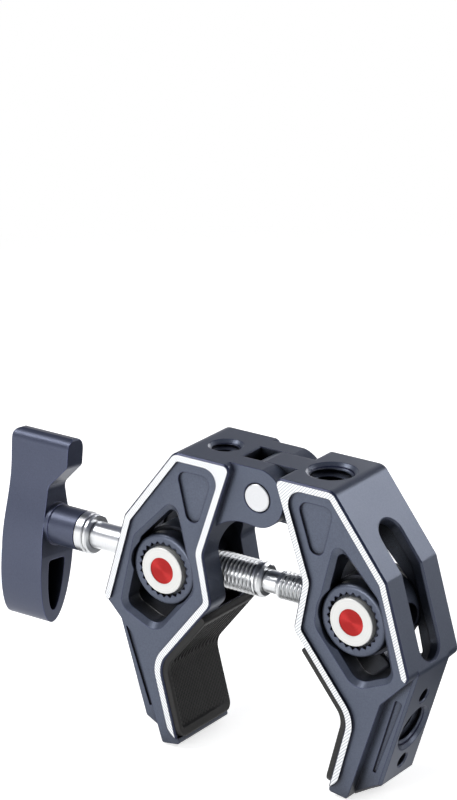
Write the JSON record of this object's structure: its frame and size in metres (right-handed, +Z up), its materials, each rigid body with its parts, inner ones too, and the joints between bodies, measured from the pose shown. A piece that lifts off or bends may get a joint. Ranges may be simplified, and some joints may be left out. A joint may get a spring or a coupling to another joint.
{
  "type": "crab clamp",
  "caption": "Scissor-jaw clamp that grips a round bar between rubber pads, drawn in by a double-acting screw, with threaded holes for camera accessories.",
  "frame": {"origin": "centre of the bar that the jaws grip, on the middle plane of the jaws", "axes": "+X from the left jaw to the right jaw, +Y along the gripped bar towards the back, +Z up to the hinge"},
  "size_m": [0.1107, 0.02, 0.069],
  "materials": {
    "slate_metal": "fine-blasted, slate-blue anodised, with a bare white line round each face",
    "bright_steel": "turned, satin",
    "red_disc": "spun, red anodised",
    "pad_rubber": "moulded, ribbed and knurled"
  },
  "bodies": {
    "left_jaw": {"left_jaw": "slate_metal", "left_pad": "pad_rubber", "hinge_pin": "bright_steel"},
    "right_jaw": {"right_jaw": "slate_metal", "right_pad": "pad_rubber"},
    "right_nut": {"right_nut_core": "slate_metal", "right_front_trunnion": "slate_metal", "right_front_cap_ring": "bright_steel", "right_front_disc": "red_disc", "right_back_trunnion": "slate_metal", "right_back_cap_ring": "bright_steel", "right_back_disc": "red_disc"},
    "left_nut": {"left_nut_core": "slate_metal", "left_front_trunnion": "slate_metal", "left_front_cap_ring": "bright_steel", "left_front_disc": "red_disc", "left_back_trunnion": "slate_metal", "left_back_cap_ring": "bright_steel", "left_back_disc": "red_disc"},
    "washer": {"thrust_washer": "bright_steel"},
    "screw": {"screw": "bright_steel", "handle": "slate_metal", "handle_screw": "bright_steel"}
  },
  "joints": [
    {"name": "jaw_hinge", "type": "hinge", "parent": "left_jaw", "child": "right_jaw", "pos_m": [0, 0, 0.0454], "axis": [0, 1, 0], "range_deg": [-14, 30]},
    {"name": "left_nut_swivel", "type": "hinge", "parent": "left_jaw", "child": "left_nut", "pos_m": [-0.02425, 0, 0.0234], "axis": [0, 1, 0], "range_deg": [-8, 16]},
    {"name": "right_nut_swivel", "type": "hinge", "parent": "right_jaw", "child": "right_nut", "pos_m": [0.02425, 0, 0.0234], "axis": [0, 1, 0], "range_deg": [-16, 8]},
    {"name": "screw_travel", "type": "slide", "parent": "left_nut", "child": "washer", "axis": [-1, 0, 0], "range_m": [-0.0032, 0.0065]},
    {"name": "screw_spin", "type": "hinge", "parent": "washer", "child": "screw", "pos_m": [-0.05, 0, 0.0234], "axis": [1, 0, 0], "range_deg": [-1100, 2300]}
  ],
  "couplings": [
    {"joint": "left_nut_swivel", "follows": "jaw_hinge", "ratio": 0.5},
    {"joint": "right_nut_swivel", "follows": "jaw_hinge", "ratio": -0.5},
    {"joint": "screw_travel", "follows": "jaw_hinge", "m_per_rad": 0.01173},
    {"joint": "screw_spin", "follows": "jaw_hinge", "ratio": 73.702}
  ]
}
